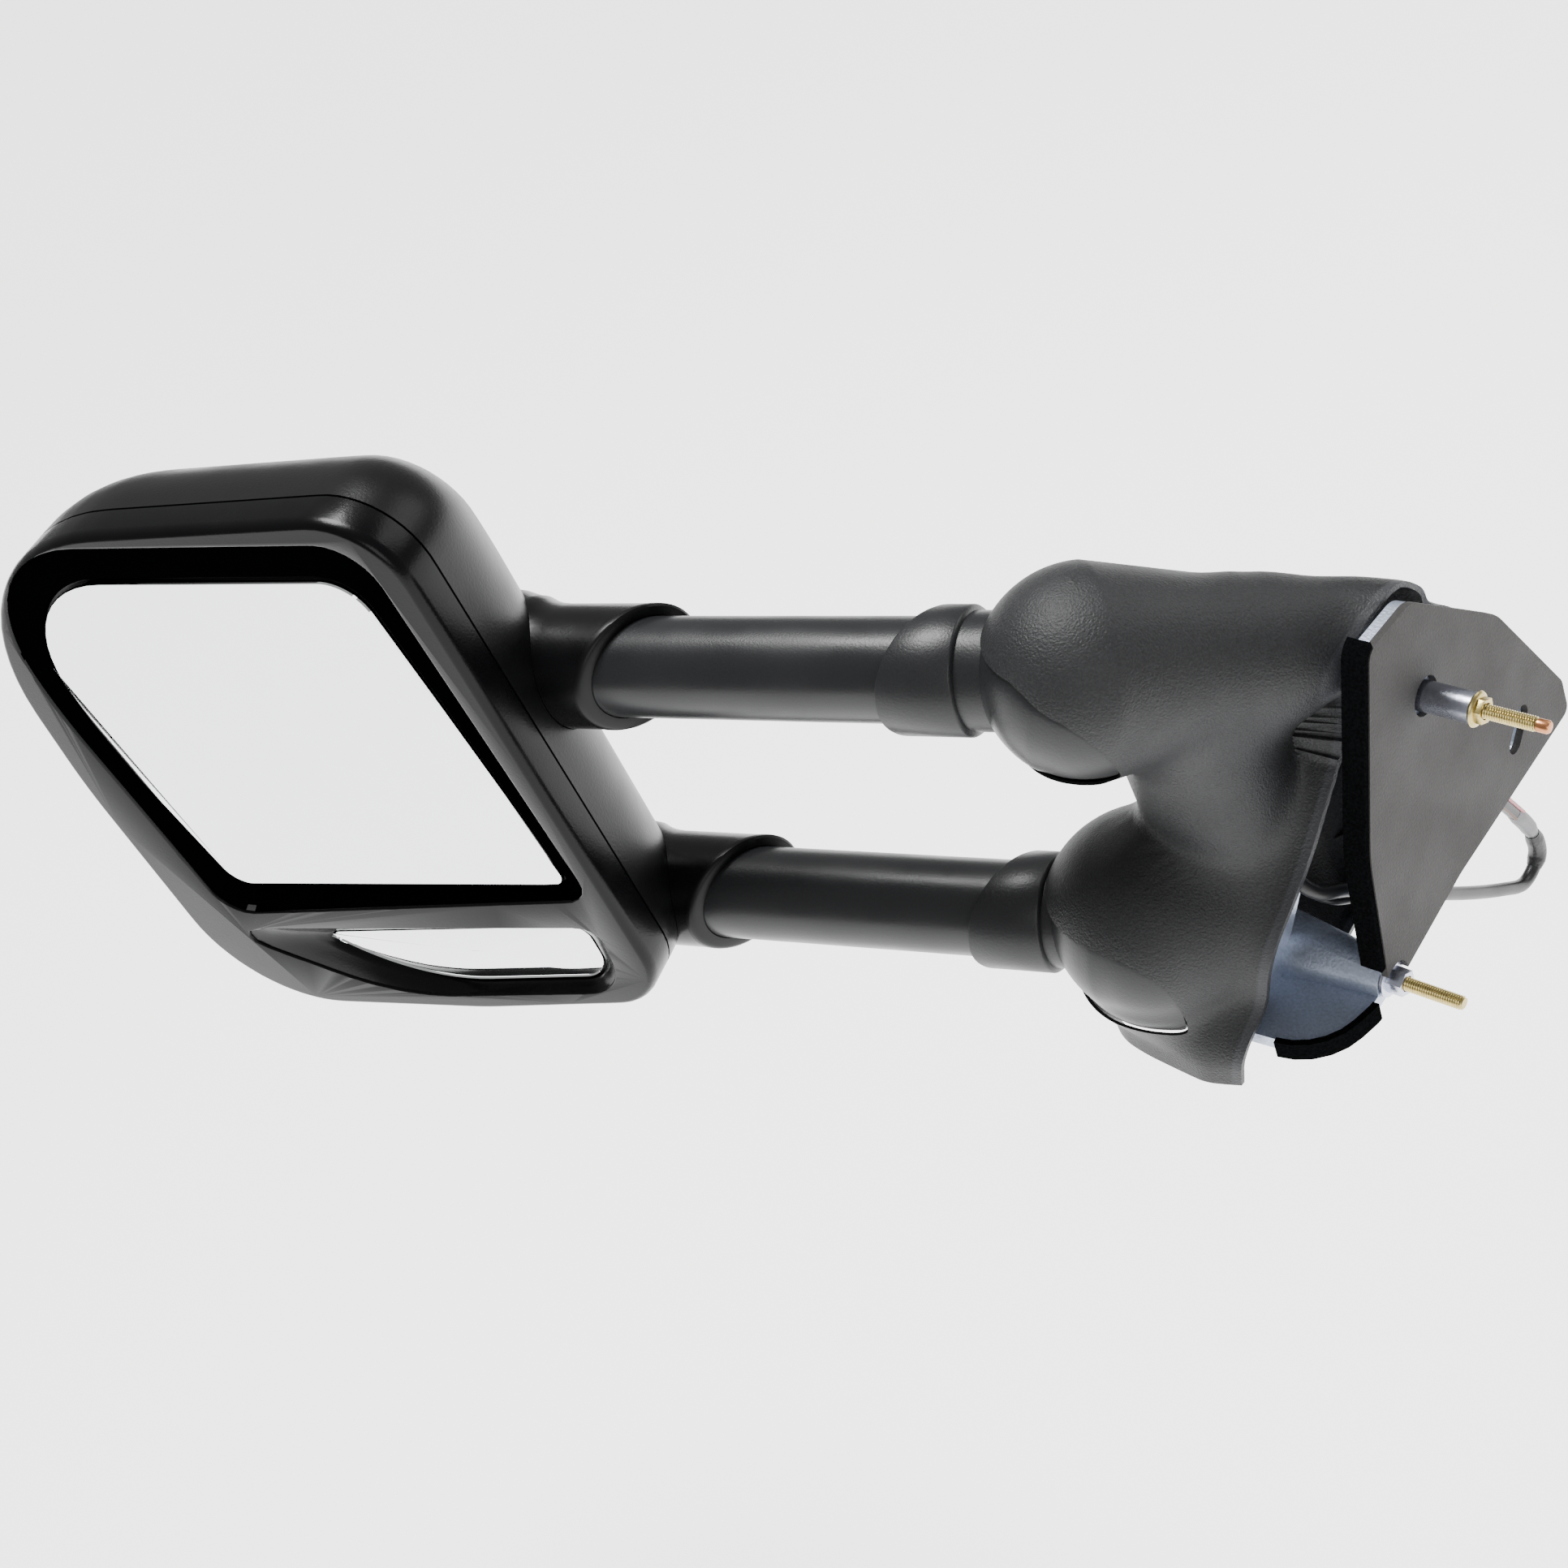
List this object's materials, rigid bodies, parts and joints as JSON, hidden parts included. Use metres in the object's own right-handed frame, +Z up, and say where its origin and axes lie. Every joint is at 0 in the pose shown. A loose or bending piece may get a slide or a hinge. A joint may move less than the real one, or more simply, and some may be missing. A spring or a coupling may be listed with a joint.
{
  "type": "towing mirror",
  "caption": "Door-mounted towing mirror: sail-shaped door base, folding telescopic arms and a tall head with a flat glass above a wide-angle spotter lens.",
  "frame": {"origin": "on the inboard face of the door gasket, inside its sail-shaped outline, 5 mm behind and 53 mm below the upper stud", "axes": "+X points inboard into the door, square to the gasket face; +Y points to the front of the vehicle; +Z is up"},
  "size_m": [0.5949, 0.3795, 0.3539],
  "materials": {
    "grained_plastic": "fine moulded grain",
    "satin_plastic": "satin black",
    "tube_finish": "satin charcoal",
    "black_plastic": "matt black",
    "mirror_glass": "silvered",
    "die_cast": "bluish passivated",
    "bright_zinc": "bluish zinc plate",
    "yellow_zinc": "yellow zinc plate",
    "gasket_rubber": "matt",
    "edge_foam": "closed-cell foam",
    "harness_tape": "taped cable",
    "spring_steel": "plain"
  },
  "bodies": {
    "base": {"mount_gasket": "gasket_rubber", "edge_seal": "edge_foam", "shelf_seal": "edge_foam", "base_bracket": "die_cast", "base_cover": "grained_plastic", "standoff_upper": "bright_zinc", "nut_upper": "yellow_zinc", "stud_upper": "yellow_zinc", "nut_lower": "bright_zinc", "stud_lower": "yellow_zinc", "upper_pivot_pin": "spring_steel", "lower_pivot_pin": "spring_steel", "upper_pin_clip": "spring_steel", "lower_pin_clip": "spring_steel", "harness": "harness_tape", "harness_connector": "black_plastic"},
    "arms": {"upper_arm_tube": "tube_finish", "lower_arm_tube": "tube_finish", "upper_knuckle": "die_cast", "lower_knuckle": "die_cast", "upper_knuckle_cover": "satin_plastic", "lower_knuckle_cover": "satin_plastic", "fold_spring": "spring_steel"},
    "head": {"head_back_shell": "satin_plastic", "head_bezel": "satin_plastic", "upper_sleeve": "satin_plastic", "lower_sleeve": "satin_plastic", "upper_guide_bush": "black_plastic", "lower_guide_bush": "black_plastic", "head_frame": "black_plastic", "actuator_housing": "black_plastic", "spotter_carrier": "black_plastic"},
    "main_gimbal": {"main_gimbal": "black_plastic"},
    "main_mirror": {"main_glass": "mirror_glass", "main_glass_holder": "black_plastic"},
    "spotter_gimbal": {"spotter_gimbal": "black_plastic"},
    "spotter_mirror": {"spotter_glass": "mirror_glass", "spotter_glass_holder": "black_plastic"},
    "pan_plunger": {"pan_plunger": "black_plastic"},
    "tilt_plunger": {"tilt_plunger": "black_plastic"}
  },
  "joints": [
    {"name": "arm_fold", "type": "hinge", "parent": "base", "child": "arms", "pos_m": [-0.088, -0.074, 0], "axis": [0, 0, 1], "range_deg": [0, 50]},
    {"name": "head_extend", "type": "slide", "parent": "arms", "child": "head", "axis": [0.9483, 0.3173, 0], "range_m": [0, 0.095]},
    {"name": "glass_pan", "type": "hinge", "parent": "head", "child": "main_gimbal", "pos_m": [-0.43267, -0.22887, 0.06], "axis": [0, 0, 1], "range_deg": [-4, 4]},
    {"name": "glass_tilt", "type": "hinge", "parent": "main_gimbal", "child": "main_mirror", "pos_m": [-0.43267, -0.22887, 0.06], "axis": [0.9483, 0.3173, 0], "range_deg": [-5, 5]},
    {"name": "spotter_pan", "type": "hinge", "parent": "head", "child": "spotter_gimbal", "pos_m": [-0.38557, -0.21205, -0.034], "axis": [0, 0, 1], "range_deg": [-4, 4]},
    {"name": "spotter_tilt", "type": "hinge", "parent": "spotter_gimbal", "child": "spotter_mirror", "pos_m": [-0.38557, -0.21205, -0.034], "axis": [0.9483, 0.3173, 0], "range_deg": [-5, 5]},
    {"name": "pan_plunger_slide", "type": "slide", "parent": "head", "child": "pan_plunger", "axis": [-0.3173, 0.9483, 0], "range_m": [-0.0024, 0.0024]},
    {"name": "tilt_plunger_slide", "type": "slide", "parent": "head", "child": "tilt_plunger", "axis": [-0.3173, 0.9483, 0], "range_m": [-0.0035, 0.0035]}
  ],
  "couplings": [
    {"joint": "pan_plunger_slide", "follows": "glass_pan", "m_per_rad": 0.034},
    {"joint": "tilt_plunger_slide", "follows": "glass_tilt", "m_per_rad": 0.04}
  ]
}
